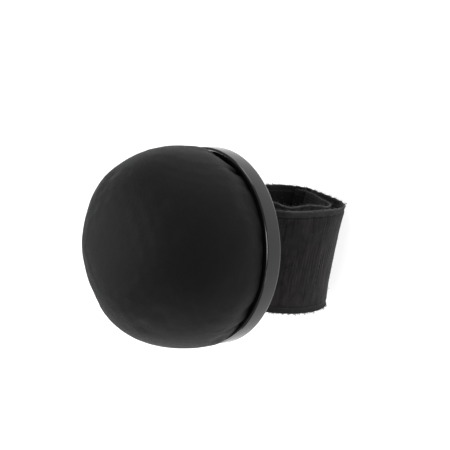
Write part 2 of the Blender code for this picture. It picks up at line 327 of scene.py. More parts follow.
def tray_plastic():
    s = Shader("tray_plastic", specular_ior_level=0.5)
    where = s.place()
    cloud = s.noise(where, 60.0, 4.0)
    dark, light = (0.0015, 0.0015, 0.0017, 1), (0.0035, 0.0035, 0.0038, 1)
    s.set("Base Color", s.mix(cloud, dark, light))
    smear = s.noise(where, 140.0, 5.0, 0.7)
    s.set("Roughness", s.ramp(smear, 0.3, 0.7, 0.09, 0.19))
    fine = s.noise(where, 1800.0, 2.0)
    peel = s.noise(where, 260.0, 3.0)
    first = s.bump(peel, 0.02 * MM, 0.5)
    s.bump(fine, 0.004 * MM, 0.4, first)
    return s.material


def cover_twill():
    """Black twill: diagonal wales cut by the weft and the warp, with a soft sheen."""
    wale_pitch, yarn_pitch = 0.5, 0.24  # mm
    s = Shader(
        "cover_twill",
        specular_ior_level=0.08,
        sheen_weight=0.042,
        sheen_roughness=0.4,
    )
    s.shader.inputs["Sheen Tint"].default_value = (0.9, 0.92, 1.0, 1)
    u, v, cloth = s.cloth()
    drift = s.math("MULTIPLY", s.noise(cloth, 0.12, 2.0), 1.6)
    diagonal = s.math("ADD", s.math("MULTIPLY", s.math("ADD", u, v), 0.7071), drift)
    wale = s.wave("SINE", diagonal, wale_pitch)
    weft = s.wave("SINE", v, yarn_pitch)
    warp = s.wave("SINE", u, yarn_pitch)
    yarn = s.math("MULTIPLY", s.math("ADD", weft, warp), 0.3)
    weave = s.math("ADD", wale, yarn)
    slub = s.noise(cloth, 2.2, 3.0)
    height = s.math("ADD", weave, s.math("MULTIPLY", slub, 0.8))
    shade = s.ramp(height, -1.2, 2.0, 0.0, 1.0)
    patch = s.noise(cloth, 0.06, 3.0)
    dark = s.mix(patch, (0.0016, 0.0016, 0.0017, 1), (0.0022, 0.0022, 0.0023, 1))
    light = s.mix(patch, (0.0063, 0.0063, 0.0065, 1), (0.0084, 0.0084, 0.0087, 1))
    s.set("Base Color", s.mix(shade, dark, light))
    s.set("Roughness", s.ramp(slub, 0.3, 0.7, 0.52, 0.66))
    lumps = s.noise(cloth, 0.35, 2.0)
    first = s.bump(lumps, 0.25 * MM, 0.25)
    s.bump(height, 0.035 * MM, 0.7, first)
    return s.material


def strap_tape():
    """Loop tape: rows of brushed pile between plain woven edges, and a plain back. Painted shade
    darkens the back inside the loop, the groove beside each woven edge and the -Y woven band; a
    painted highlight lightens the very edge.
    """
    rib_pitch, pick_pitch, cord_pitch = 1.3, 0.62, 0.55  # mm
    s = Shader(
        "strap_tape",
        specular_ior_level=0.1,
        sheen_weight=0.1,
        sheen_roughness=0.5,
    )
    s.shader.inputs["Sheen Tint"].default_value = (1.0, 0.95, 0.97, 1)
    u, v, cloth = s.cloth()
    across = s.math("ABSOLUTE", v)
    # back is 1 on the face into the loop, which gets the darker colours below as painted shade
    back = s.node("Attribute", {}, attribute_name="back").outputs["Fac"]
    edge = s.ramp(across, 16.5, 16.9, 0.0, 1.0)
    # painted shade: the pile is darkened in the groove between it and the woven edge
    past_pile = s.ramp(across, 15.9, 16.5, 0.0, 1.0)
    groove_painted_shade = s.math("MULTIPLY", past_pile, s.ramp(across, 16.5, 17.0, 1.0, 0.0))
    pile = s.noise(cloth, 3.2, 5.0, 0.7)
    loops = s.noise(cloth, 1.1, 2.0)
    nap = s.noise(cloth, 0.3, 3.0, 0.6)
    along_ribs = s.node("Mapping", {"Vector": cloth, "Scale": (1.0, 0.14, 1.0)}).outputs[0]
    streak = s.noise(along_ribs, 0.7, 2.0, 0.45)
    rib = s.ramp(s.wave("COSINE", u, rib_pitch), -1.0, 1.0, 0.0, 0.13)
    rib_tone = s.math("MULTIPLY", rib, s.ramp(nap, 0.4, 0.6, 0.0, 1.0))
    grain = s.math("ADD", s.math("MULTIPLY", pile, 0.4), s.ramp(streak, 0.3, 0.7, -0.25, 0.45))
    # random nap, and the pile made lighter towards the -Y edge
    nap_and_lighter_minus_y = s.math("ADD", s.ramp(nap, 0.3, 0.7, -0.2, 0.3), s.ramp(v, -17.0, 17.0, 0.16, 0.0))
    ribs_nap_and_side_tone = s.math("ADD", rib_tone, nap_and_lighter_minus_y)
    tone = s.math("SUBTRACT", s.math("ADD", grain, ribs_nap_and_side_tone), s.math("MULTIPLY", groove_painted_shade, 0.75))
    rose = s.noise(cloth, 0.09, 2.0)
    dark = s.mix(rose, (0.0028, 0.0027, 0.0028, 1), (0.0035, 0.0028, 0.003, 1))
    light = s.mix(rose, (0.0155, 0.0145, 0.0153, 1), (0.019, 0.0155, 0.0172, 1))
    body = s.mix(tone, dark, light)
    woven = s.math("MULTIPLY", s.wave("SINE", u, pick_pitch), s.wave("SINE", v, cord_pitch))
    tuft = s.math("ADD", s.ramp(woven, -1.0, 1.0, -0.1, 0.55), s.math("MULTIPLY", pile, 0.5))
    # painted highlight: the outermost half millimetre of the woven edge is made lighter
    tuft_and_edge_highlight = s.math("ADD", tuft, s.ramp(across, 18.3, 18.8, 0.0, 1.5))
    # painted shade: the woven band is darker towards the -Y edge, mottled by the random nap
    nap_and_low_edge_shade = s.math("MULTIPLY", s.ramp(v, -17.0, 17.0, 0.1, 0.8), s.ramp(nap, 0.35, 0.65, 0.3, 1.0))
    woven_tone = s.math("MULTIPLY", tuft_and_edge_highlight, nap_and_low_edge_shade)
    band = s.mix(woven_tone, (0.0075, 0.0073, 0.0075, 1), (0.06, 0.0582, 0.0606, 1))
    outside = s.mix(edge, body, band)
    # painted shade: the plain back faces into the loop, and its colours are far darker than the
    # pile's
    plain = s.mix(pile, (0.0006, 0.0006, 0.0006, 1), (0.004, 0.0039, 0.004, 1))
    shaded_plain_band = s.mix(woven_tone, (0.004, 0.0039, 0.004, 1), (0.024, 0.0233, 0.0242, 1))
    inside = s.mix(edge, plain, shaded_plain_band)
    s.set("Base Color", s.mix(back, outside, inside))
    s.set("Roughness", s.ramp(pile, 0.3, 0.7, 0.68, 0.86))
    fuzz = s.math("ADD", pile, s.math("MULTIPLY", loops, 0.6))
    height = s.node("Mix", {0: edge, 2: fuzz, 3: woven}, data_type="FLOAT").outputs[0]
    s.bump(height, 0.12 * MM, 0.6)
    return s.material


def simple(name, dark, light, scale, rough, bump, **values):
    """A noise-mottled material: two colours, a roughness range and a bump distance."""
    s = Shader(name, **values)
    where = s.place()
    grain = s.noise(where, scale, 4.0)
    s.set("Base Color", s.mix(grain, (*dark, 1), (*light, 1)))
    s.set("Roughness", s.ramp(grain, 0.3, 0.7, *rough))
    s.bump(s.noise(where, 3 * scale, 3.0), bump, 0.6)
    return s.material


def floor_material():
    s = Shader("pale_floor", roughness=0.8)
    cloud = s.noise(s.place(), 6.0)
    s.set("Base Color", s.mix(cloud, (0.34, 0.34, 0.34, 1), (0.37, 0.37, 0.37, 1)))
    s.shader.inputs["Emission Color"].default_value = (1, 1, 1, 1)
    s.shader.inputs["Emission Strength"].default_value = FLOOR_GLOW
    return s.material


MATERIALS = {
    "tray_plastic": tray_plastic(),
    "cover_twill": cover_twill(),
    "strap_tape": strap_tape(),
    "pile_fuzz": simple(
        "pile_fuzz", (0.015, 0.0145, 0.015), (0.09, 0.087, 0.089), 350, (0.8, 0.95), 0.01 * MM,
        specular_ior_level=0.15, sheen_weight=0.1, sheen_roughness=0.5,
    ),
    "thread": simple(
        "thread", (0.012, 0.012, 0.012), (0.03, 0.029, 0.03), 2500, (0.5, 0.7), 0.02 * MM
    ),
    "hook_tape": simple(
        "hook_tape", (0.012, 0.012, 0.013), (0.022, 0.022, 0.024), 900, (0.38, 0.5), 0.01 * MM
    ),
    "filling": simple(
        "filling", (0.6, 0.58, 0.53), (0.82, 0.8, 0.75), 700, (0.85, 1.0), 0.4 * MM
    ),
    "guard_board": simple(
        "guard_board", (0.26, 0.26, 0.26), (0.4, 0.4, 0.39), 500, (0.55, 0.7), 0.03 * MM
    ),
    "glue": simple(
        "glue", (0.62, 0.48, 0.22), (0.8, 0.68, 0.4), 300, (0.22, 0.35), 0.05 * MM
    ),
}


# --- tray --------------------------------------------------------------------------------------


def make_tray():
    inner_r = TRAY_R - TRAY_WALL
    floor_z = TRAY_BASE_Z + TRAY_FLOOR
    profile = [(0, floor_z), (0.5 * inner_r, floor_z)]
    profile += arc((inner_r - FLOOR_FILLET, floor_z + FLOOR_FILLET), FLOOR_FILLET, -90, 0)
    profile += [(inner_r - share * LIP_BEAD, LIP_Z - depth * MM) for depth, share in LIP_BEAD_RISE]
    profile += arc((inner_r - LIP_BEAD + LIP_ROUND, LIP_Z - LIP_ROUND), LIP_ROUND, 180, 90)
    wide, drop = LIP_SLOPE
    for turn in np.radians(np.linspace(0, 90, 12)):
        r, z = TRAY_R - wide + wide * math.sin(turn), LIP_Z - drop + drop * math.cos(turn)
        profile.append((r, z))
    profile += arc((TRAY_R - BASE_ROUND, TRAY_BASE_Z + BASE_ROUND), BASE_ROUND, 0, -90, 10)
    profile += [(0.5 * inner_r, TRAY_BASE_Z), (0, TRAY_BASE_Z)]
    points, faces = turned_points(profile, TRAY_STEPS)
    tray = mesh_object("dish", points, faces, MATERIALS["tray_plastic"], TRAY_SHARP_DEGREES)
    for side in (-1, 1):
        cut = tray.modifiers.new("slot", "BOOLEAN")
        cut.operation = "DIFFERENCE"
        cut.object = slot_cutter(side * SLOT_X)
    cutters = [m.object for m in tray.modifiers]
    tray = baked(tray, "dish")
    for cutter in cutters:
        bpy.data.objects.remove(cutter, do_unlink=True)
    tray.data.shade_smooth()
    tray.data.set_sharp_from_angle(angle=math.radians(TRAY_SHARP_DEGREES))
    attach(tray, "tray_body")
    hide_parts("tray")


def slot_cutter(x):
    """A bar with rounded upright edges, through the tray floor."""
    bm = bmesh.new()
    bmesh.ops.create_cube(bm, size=1)
    bmesh.ops.scale(bm, verts=bm.verts, vec=(*SLOT_SIZE, 4 * TRAY_FLOOR))
    upright = [e for e in bm.edges if abs(e.verts[0].co.z - e.verts[1].co.z) > TRAY_FLOOR]
    bmesh.ops.bevel(bm, geom=upright, offset=SLOT_ROUND, segments=6, affect="EDGES")
    bmesh.ops.translate(bm, verts=bm.verts, vec=(x, 0, TRAY_BASE_Z + TRAY_FLOOR / 2))
    mesh = bpy.data.meshes.new("slot_cutter")
    bm.to_mesh(mesh)
    bm.free()
    return link(bpy.data.objects.new("slot_cutter", mesh))


# --- cushion -----------------------------------------------------------------------------------


def dome_profile(share, inset):
    """The cushion's outline from its top (share 0) past its widest ring (1) to its foot (2)."""
    if share <= 1:
        angle = math.pi / 2 * (1 - share)
        r = (CUSHION_R - inset) * max(0.0, math.cos(angle)) ** (2 / CUSHION_SQUARENESS)
        z = WIDEST_Z + (CUSHION_CROWN - inset) * math.sin(angle) ** (2 / CUSHION_SQUARENESS)
        return r, z
    drop = share - 1
    foot_z = COVER_LOW.z
    z = WIDEST_Z + (foot_z - WIDEST_Z) * drop
    to_lip = (WIDEST_Z - z) / (WIDEST_Z - LIP_Z)
    r = CUSHION_R - (CUSHION_R - CUSHION_LIP_R) * to_lip**2
    if z < LIP_Z:
        r = CUSHION_LIP_R - (CUSHION_LIP_R - CUSHION_BASE_R) * ((LIP_Z - z) / (LIP_Z - foot_z)) ** 2
    return r - inset, z


# azimuth and height of a place on the dome in degrees, half-width and how far it stands out in mm
LUMPS = [
    (-118, 22, 15, 0.9),
    (-160, 35, 16, -0.6),
    (100, 30, 14, 0.6),
    (150, 20, 15, -0.4),
    (-60, 20, 14, -0.45),
    (20, 42, 18, 0.35),
    (146, 36, 10, 1.15),
    (-167, 52, 10, 1.0),
    (-118, 43, 16, -0.5),
    (-58, -16, 7, 1.1),
    (100, -13, 6, 0.8),
]
# where the cloth is tucked in at the lip, or bulges if the depth is negative: azimuth and
# half-width in degrees, depth in mm
TUCKS = [
    (92, 17, 0.35), (109, 3.5, 0.9), (102, 2.0, 1.2), (88, 2.0, 1.2), (69, 1.8, 1.1),
    (56, 2.5, 0.5), (36, 3, 0.2), (12, 4, 0.25), (-20, 3.5, 0.4), (-34, 2.5, 0.6),
    (-48, 22, -0.9), (150, 8, 0.8), (200, 7, 0.6), (250, 6, 0.6),
]
TUCK_HEIGHT = 5.5 * MM  # how far above and below the lip the tucks reach


def shape_cover(points):
    """Moves the cover's points: broad lumps, fine unevenness and tucks at the lip."""
    centre = np.array([0, 0, WIDEST_Z])
    away = points - centre
    distance = np.linalg.norm(away, axis=1)
    direction = away / distance[:, None]
    push = np.zeros(len(points))
    for azimuth, height, width, amount in LUMPS:
        a, e = math.radians(azimuth), math.radians(height)
        at = np.array([math.cos(a) * math.cos(e), math.sin(a) * math.cos(e), math.sin(e)])
        gap = np.linalg.norm(direction - at, axis=1) * CUSHION_R / (width * MM)
        push += amount * MM * np.exp(-(gap**2))
    azimuth = np.degrees(np.arctan2(points[:, 1], points[:, 0]))
    above = points[:, 2] - LIP_Z
    near_lip = np.exp(-((above / TUCK_HEIGHT) ** 2)) * smoothstep(points[:, 2], COVER_LOW.z, LIP_Z)
    for at, width, depth in TUCKS:
        gap = (azimuth - at + 180) % 360 - 180
        push -= depth * MM * np.exp(-((gap / width) ** 2)) * near_lip
    gathers = ripple(np.radians(azimuth) * 6, above / (30 * MM), 5)
    push += 0.22 * MM * gathers * near_lip
    u, v = points[:, 0] / (14 * MM), (points[:, 1] + points[:, 2]) / (14 * MM)
    push += 0.16 * MM * ripple(u, v, 8)
    return points + direction * push[:, None]


def simulate(obj, pinned):
    """Blows the cover up as cloth, and keeps each point within a small distance of its start."""
    start = np.array([v.co for v in obj.data.vertices])
    group = obj.vertex_groups.new(name="pinned")
    group.add(pinned, 1.0, "REPLACE")
    cloth = obj.modifiers.new("cloth", "CLOTH")
    settings = cloth.settings
    settings.quality = 6
    settings.mass = 0.15
    settings.tension_stiffness = settings.compression_stiffness = 12
    settings.shear_stiffness = 6
    settings.bending_stiffness = 0.4
    settings.use_pressure = True
    settings.uniform_pressure_force = 4
    settings.shrink_min = -0.02
    settings.vertex_group_mass = "pinned"
    settings.effector_weights.gravity = 0
    cloth.point_cache.frame_start, cloth.point_cache.frame_end = 1, CLOTH_FRAMES
    scene = bpy.context.scene
    for number in range(1, CLOTH_FRAMES + 1):
        scene.frame_set(number)
    graph = bpy.context.evaluated_depsgraph_get()
    end = np.array([v.co for v in obj.evaluated_get(graph).data.vertices])
    obj.modifiers.remove(cloth)
    scene.frame_set(1)
    move = end - start
    length = np.linalg.norm(move, axis=1)
    kept = CLOTH_REACH * np.tanh(length / CLOTH_REACH)
    move *= (kept / np.maximum(length, 1e-9))[:, None]
    for vertex, point in zip(obj.data.vertices, start + move):
        vertex.co = point


def make_cushion():
    profile = [dome_profile(i / 24, BLANK_INSET) for i in range(24)]
    profile += [dome_profile(1 + i / 10, BLANK_INSET) for i in range(11)]
    foot_r, foot_z = profile[-1]
    profile += [(foot_r * 0.6, foot_z), (0, foot_z)]
    blank = mesh_object("blank", *turned_points(profile, 96), MATERIALS["cover_twill"])
    remesh = blank.modifiers.new("even", "REMESH")
    remesh.mode = "VOXEL"
    remesh.voxel_size = BLANK_VOXEL
    cover = baked(blank, "cover")
    low = [v.index for v in cover.data.vertices if v.co.z < LIP_Z + 0.3 * MM]
    simulate(cover, low)
    subdivide = cover.modifiers.new("fine", "SUBSURF")
    subdivide.levels = subdivide.render_levels = 2
    cover = baked(cover, "cover")
    open_underside(cover, shape_cover(np.array([v.co for v in cover.data.vertices])))
    cover.data.shade_smooth()
    cover.data.materials.clear()
    cover.data.materials.append(MATERIALS["cover_twill"])
    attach(cover, "tray_body")
    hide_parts("cushion_cover")


def open_underside(cover, points):
    """Cuts the gathered hole in the underside, pleats the cloth round it and gives it thickness."""
    bm = bmesh.new()
    bm.from_mesh(cover.data)
    for vertex, point in zip(bm.verts, points):
        vertex.co = point
    under = COVER_LOW.z + UNDERSIDE
    hole = []
    for face in bm.faces:
        middle = face.calc_center_median()
        if middle.z < under and middle.xy.length < GATHER_HOLE_R:
            hole.append(face)
    bmesh.ops.delete(bm, geom=hole, context="FACES")
    rim = {v for e in bm.edges if e.is_boundary for v in e.verts}
    for vertex in rim:
        vertex.co.xy = vertex.co.xy.normalized() * GATHER_HOLE_R
    layer = bm.loops.layers.uv.new("cloth")
    for vertex in bm.verts:
        x, y, z = vertex.co
        if z < under:
            pleat = 0.5 - 0.5 * math.cos(PLEATS * math.atan2(y, x))
            inwards = (CUSHION_BASE_R - math.hypot(x, y)) / (CUSHION_BASE_R - GATHER_HOLE_R)
            share = min(1, max(0, inwards))
            vertex.co.z = max(z, COVER_LOW.z) + PLEAT_DEPTH * pleat * share
    for face in bm.faces:
        for loop in face.loops:
            x, y, z = loop.vert.co
            r = max(math.hypot(x, y), 1e-9)
            down = CLOTH_MAP_R * math.atan2(r, z - WIDEST_Z)
            loop[layer].uv = (down * x / r, down * y / r)
    bm.to_mesh(cover.data)
    bm.free()
    shell = cover.modifiers.new("thickness", "SOLIDIFY")
    shell.thickness = COVER_THICK
    shell.offset = -1
    graph = bpy.context.evaluated_depsgraph_get()
    old = cover.data
    cover.data = bpy.data.meshes.new_from_object(cover.evaluated_get(graph))
    cover.modifiers.clear()
    bpy.data.meshes.remove(old)


def make_inside():
    """What the cover hides: the filling, the guard disc, the drawn thread and the glue."""
    low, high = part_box("stuffing")
    points, faces = turned_points(
        [(0, high.z - 0.4 * MM)]
        + [dome_profile(i / 20, FILLING_INSET) for i in range(1, 21)]
        + [(CUSHION_R - 2.6 * MM, WIDEST_Z - 5 * MM), (CUSHION_LIP_R - 2.6 * MM, low.z + 2 * MM)]
        + [(CUSHION_LIP_R - 3.6 * MM, low.z + 0.3 * MM), (0, low.z + 0.2 * MM)],
        72,
    )
    points = np.array(points)
    centre = np.array([0, 0, WIDEST_Z])
    tufts = ripple(points[:, 0] / (5 * MM), points[:, 1] / (5 * MM) + points[:, 2] / (4 * MM), 3)
    share = 1 - 0.018 * (1 + tufts) * (points[:, 2] > low.z + 3 * MM)
    points = centre + (points - centre) * share[:, None]
    stuffing = mesh_object("fibre_filling", points, faces, MATERIALS["filling"])
    finish_piece(stuffing, "stuffing")

    low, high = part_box("guard_disc")
    soft = 0.3 * MM
    profile = [(0, high.z)] + arc((high.x - soft, high.z - soft), soft, 90, 0, 4)
    profile += arc((high.x - soft, low.z + soft), soft, 0, -90, 4) + [(0, low.z)]
    disc = mesh_object("needle_guard", *turned_points(profile, 120), MATERIALS["guard_board"])
    finish_piece(disc, "guard_disc")

    low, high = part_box("gather_thread")
    ring_r = (high.x - low.x) / 2 - (high.z - low.z) / 2
    steps, twists, ply_offset = 360, 60, 0.18 * MM
    lines = []
    for ply in (0, math.pi):
        line = []
        for i in range(steps):
            angle = 2 * math.pi * i / steps
            twist = twists * angle + ply
            r = ring_r + ply_offset * math.cos(twist)
            z = (low.z + high.z) / 2 + ply_offset * math.sin(twist)
            line.append((r * math.cos(angle), r * math.sin(angle), z))
        lines.append(line)
    thread = tubes("drawn_thread", lines, 0.2 * MM, MATERIALS["thread"], cyclic=True)
    finish_piece(thread, "gather_thread")

    for number in range(1, 5):
        node = f"glue_dab_{number}"
        low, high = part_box(node)
        middle = (low + high) / 2
        r, depth = 0.7 * (high.x - low.x) / 2, high.z - low.z
        profile = [(0, depth / 2)]
        for angle in np.linspace(0.3, 1.5, 8):
            profile.append((r * 0.93 * math.sin(angle), depth / 2 * math.cos(angle) ** 0.4))
        profile += [(r * 0.97, -depth * 0.2), (r * 0.9, -depth / 2), (0, -depth / 2)]
        points, faces = turned_points(profile, 40)
        points = np.array(points)
        angle = np.arctan2(points[:, 1], points[:, 0])
        uneven = 0.93 + 0.06 * np.sin(3 * angle + number) + 0.03 * np.sin(5 * angle + 2 * number)
        points[:, :2] *= uneven[:, None]
        dab = mesh_object(f"hot_melt_{number}", points + np.array(middle), faces, MATERIALS["glue"])
        finish_piece(dab, node)


def finish_piece(obj, node):
    """A piece that stands for one of the tray's own nodes."""
    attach(obj, "tray_body")
    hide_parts(node)


def tubes(name, lines, radius, material, cyclic=False, sides=6):
    """Round tubes along lines of points, as one mesh."""
    points, faces = [], []
    for line in lines:
        line = np.array(line, float)
        count = len(line)
        if cyclic:
            tangent = np.roll(line, -1, axis=0) - np.roll(line, 1, axis=0)
        else:
            tangent = np.gradient(line, axis=0)
        tangent /= np.linalg.norm(tangent, axis=1, keepdims=True)
        spare = np.array([0, 0, 1.0]) if abs(tangent[:, 2]).mean() < 0.8 else np.array([0, 1.0, 0])
        side = np.cross(tangent, spare)
        side /= np.linalg.norm(side, axis=1, keepdims=True)
        up = np.cross(side, tangent)
        start = len(points)
        for i in range(count):
            for k in range(sides):
                a = 2 * math.pi * k / sides
                points.append(line[i] + radius * (math.cos(a) * side[i] + math.sin(a) * up[i]))
        rows = count if cyclic else count - 1
        for i in range(rows):
            j = (i + 1) % count
            for k in range(sides):
                m = (k + 1) % sides
                corners = (i * sides + k, i * sides + m, j * sides + m, j * sides + k)
                faces.append(tuple(start + n for n in corners))
        if not cyclic:
            faces.append(tuple(start + k for k in range(sides)))
            faces.append(tuple(start + (count - 1) * sides + k for k in range(sides)))
    return mesh_object(name, points, faces, material)


# --- strap -------------------------------------------------------------------------------------


class Path:
    """A smooth line through points (x, z), read by the distance along it."""

    def __init__(self, points):
        self.points = np.array(points, float)
        steps = np.linalg.norm(np.diff(self.points, axis=0), axis=1)
        self.along = np.concatenate([[0], np.cumsum(steps)])
        self.length = self.along[-1]

    def at(self, s):
        s = np.asarray(s, float)
        return np.stack([np.interp(s, self.along, self.points[:, k]) for k in (0, 1)], axis=-1)

    def tangent(self, s):
        step = 0.5 * MM
        s = np.asarray(s, float)
        low, high = np.clip(s - step, 0, self.length), np.clip(s + step, 0, self.length)
        move = self.at(high) - self.at(low)
        return move / np.linalg.norm(move, axis=-1, keepdims=True)

    def inward(self, s):
        """Unit normal towards the inside of the loop, on a path that goes down, +X and up."""
        tangent = self.tangent(s)
        return np.stack([-tangent[..., 1], tangent[..., 0]], axis=-1)


def loop_outline(count=80):
    """The loop's outer face (x, z): from the -X slot down, along the bottom, up to the +X slot."""
    top = TRAY_BASE_Z - 0.3 * MM
    flat_start, flat_end = LOOP_FLAT
    points = []
    for i in range(count):
        share = 1 - i / count
        x = -LOOP_LEFT_X - LOOP_LEFT_LEAN * share**LOOP_LEFT_CURVE
        points.append((x, LOOP_LEFT_Z + (top - LOOP_LEFT_Z) * share))
    for i in range(count + 1):
        angle = math.pi / 2 * i / count
        x = flat_start - (LOOP_LEFT_X + flat_start) * math.cos(angle)
        points.append((x, LOOP_LEFT_Z * (1 - math.sin(angle))))
    for i in range(count + 1):
        angle = math.pi / 2 * i / count
        x = flat_end + (LOOP_RIGHT_X - flat_end) * math.sin(angle)
        points.append((x, LOOP_RIGHT_Z * (1 - math.cos(angle))))
    slot_angle = math.asin((top - LOOP_RIGHT_Z) / LOOP_RIGHT_RISE)
    for i in range(1, count + 1):
        angle = slot_angle * i / count
        points.append(
            (LOOP_RIGHT_X * math.cos(angle), LOOP_RIGHT_Z + LOOP_RIGHT_RISE * math.sin(angle))
        )
    return Path(points)


def offset_path(outline, start, end, offset):
    """The outline from start to end, moved into the loop by offset(distance from start)."""
    s = np.linspace(start, end, 400)
    depth = offset(abs(s - start))
    return Path(outline.at(s) + outline.inward(s) * np.reshape(depth, (-1, 1)))


def inner_ply_step(run):
    """How far the inner arm lies in from the outline: on the hook patch, then on the bare arm."""
    full, to, bare = PLY_STEP_RUN
    ease = smoothstep(run, to, bare)
    return PLY_STEP * np.minimum(1, run / full) * (1 - ease) + PLY_STEP_BARE * ease


OUTLINE = loop_outline()
OUTER_PATH = offset_path(
    OUTLINE, 0, OUTLINE.length - OUTER_END_CLEARANCE, lambda run: STRAP_THICK / 2
)
INNER_PATH = offset_path(
    OUTLINE,
    OUTLINE.length,
    OUTLINE.length - INNER_LENGTH,
    lambda run: inner_ply_step(run) + STRAP_THICK / 2,
)


def bridge_path():
    """From the inner arm's anchor up through the +X slot, over the tray floor and down again."""
    floor_z = TRAY_BASE_Z + TRAY_FLOOR
    top = floor_z + 0.3 * MM + STRAP_THICK / 2
    bend = STRAP_THICK / 2 + 0.5 * MM
    half = [(SLOT_X, TRAY_BASE_Z)]
    for i in range(9):
        angle = math.pi / 2 * i / 8
        half.append((SLOT_X - bend * (1 - math.cos(angle)), top - bend * (1 - math.sin(angle))))
    upper = half + [(-x, z) for x, z in reversed(half)]
    start = INNER_PATH.at(np.linspace(INNER_CUTS[0], 0, 12)).tolist()
    end = OUTER_PATH.at(np.linspace(0, OUTER_CUTS[0], 12)).tolist()
    return Path(start + upper + end)


def cuts(hinges, length):
    """Where an arm's pieces part: in the middle between hinges, at a dip between two ribs."""
    ends = [0, *hinges, length]
    middles = [(a + b) / 2 for a, b in zip(ends, ends[1:])]
    return [(round(m / RIB_PITCH - 0.5) + 0.5) * RIB_PITCH for m in middles]


OUTER_CUTS = cuts(OUTER_HINGES, OUTER_PATH.length)
INNER_CUTS = cuts(INNER_HINGES, INNER_PATH.length)


def across_stations():
    """Distances from the tape's middle line at which it is modelled, from one edge to the other."""
    fine = [0, 0.04, 0.14, 0.4, 0.7, 1.0, 1.3, 1.6, 1.85, 2.0, 2.1, 2.2, 2.35, 2.55, 2.9, 3.5, 4.3]
    side = [EDGE_Y - f * MM for f in fine]
    middle = np.linspace(side[-1], -side[-1], 22)[1:-1].tolist()
    return np.array(side + middle + [-y for y in reversed(side)])[::-1]


ACROSS = across_stations()


def tape_section(run, y, face, seed, end=None):
    """Height of the tape's face above its middle plane, at a run and a distance across.

    face is 1 out of the loop and -1 into it. The tape thins towards end, the run of its free end.
    """
    inset = EDGE_Y - abs(y)
    body = smoothstep(inset, SELVAGE - SELVAGE_BLEND, SELVAGE + SELVAGE_BLEND)
    wobble = 0.42 * MM * ripple(y / (9 * MM), run / (14 * MM), seed + 1)
    rib = np.abs(np.cos(math.pi * (run + wobble * body) / RIB_PITCH))
    depth = RIB_DEPTH_OUT if face > 0 else RIB_DEPTH_IN
    uneven = np.clip(1 + 1.1 * ripple(run / (4.5 * MM), y / (8 * MM), seed + 2), 0, 2.2)
    pile = STRAP_THICK / 2 - PILE_SINK - depth * uneven * (1 - rib**0.8)
    lump = 0.06 * MM * ripple(run / (6 * MM), y / (7 * MM), seed + 3)
    lump += 0.045 * MM * ripple(run / (1.7 * MM), y / (3.4 * MM), seed + 5)
    pick = np.sin(2 * math.pi * run / (RIB_PITCH / 2)) * 0.03 * MM
    edge_cord = 0.1 * MM * np.exp(-(((inset - 0.35 * MM) / (0.25 * MM)) ** 2))
    selvage = SELVAGE_RISE + SELVAGE_WORN * (y < 0) + pick + edge_cord
    height = selvage + (pile + lump - selvage) * body
    rounded = np.sqrt(np.clip(1 - (1 - np.clip(inset / EDGE_ROUND, 0, 1)) ** 2, 0, 1))
    height = height * (THIN_SHARE + (1 - THIN_SHARE) * rounded)
    if end is not None:
        sealed = smoothstep(abs(run - end), *END_TAPER)
        height = height * (THIN_SHARE + (1 - THIN_SHARE) * sealed)
    return height


def edge_curl(run, y, seed, amount):
    """How far the tape's edges wave out of its middle plane."""
    side = np.sign(y)
    share = (abs(y) / EDGE_Y) ** 5
    return amount * share * ripple(run / (9 * MM), side * 3.0, seed + 4)


def tape(name, path, runs, shift, seed, curl, end=None, flip=1, lift_off=None):
    """A closed piece of ribbed tape along runs of a path.

    shift(run, y) moves it along Y and lift_off(run, y) across the path, into the loop. flip is -1
    on a path that runs the other way round the loop.
    """
    grid_run, grid_y = np.meshgrid(runs, ACROSS, indexing="ij")
    centre = path.at(grid_run)
    inward = path.inward(grid_run) * flip
    sheets = []
    for face in (1, -1):
        height = tape_section(grid_run, grid_y, face, seed, end)
        lift = -face * height + edge_curl(grid_run, grid_y, seed, curl)
        if lift_off is not None:
            lift = lift + lift_off(grid_run, grid_y)
        spot = centre + inward * lift[..., None]
        sideways = grid_y + shift(grid_run, grid_y)
        sheets.append(np.stack([spot[..., 0], sideways, spot[..., 1]], axis=-1))
    loop = np.concatenate([sheets[0], sheets[1][:, ::-1]], axis=1)
    rows, columns = loop.shape[:2]
    index = np.arange(rows * columns).reshape(rows, columns)
    nxt = np.roll(index, -1, axis=1)
    faces = np.stack([index[:-1], nxt[:-1], nxt[1:], index[1:]], axis=-1).reshape(-1, 4).tolist()
    half = columns // 2
    for row in (0, rows - 1):
        for k in range(half - 1):
            faces.append([index[row, n] for n in (k, k + 1, columns - 2 - k, columns - 1 - k)])
    uv_u = np.concatenate([grid_run, grid_run[:, ::-1]], axis=1) / MM
    uv_v = np.concatenate([grid_y, grid_y[:, ::-1]], axis=1) / MM
    uv = np.stack([uv_u, uv_v], axis=-1).reshape(-1, 2).tolist()
    piece = mesh_object(name, loop.reshape(-1, 3), faces, MATERIALS["strap_tape"], 62, uv)
    # back marks the face into the loop, which the strap material paints darker as shade
    back = piece.data.attributes.new("back", "FLOAT", "POINT")
    back.data.foreach_set("value", (np.arange(rows * columns) % columns >= half).astype(float))
    return piece


def rib_runs(low, high):
    """Stations from low to high on the ribs' own grid, so that neighbouring pieces meet."""
    step = RIB_PITCH / STATIONS_PER_RIB
    first, last = math.ceil(low / step + 1e-6), math.floor(high / step - 1e-6)
    between = np.arange(first, last + 1) * step
    return np.unique(np.round(np.concatenate([[low], between, [high]]), 9))


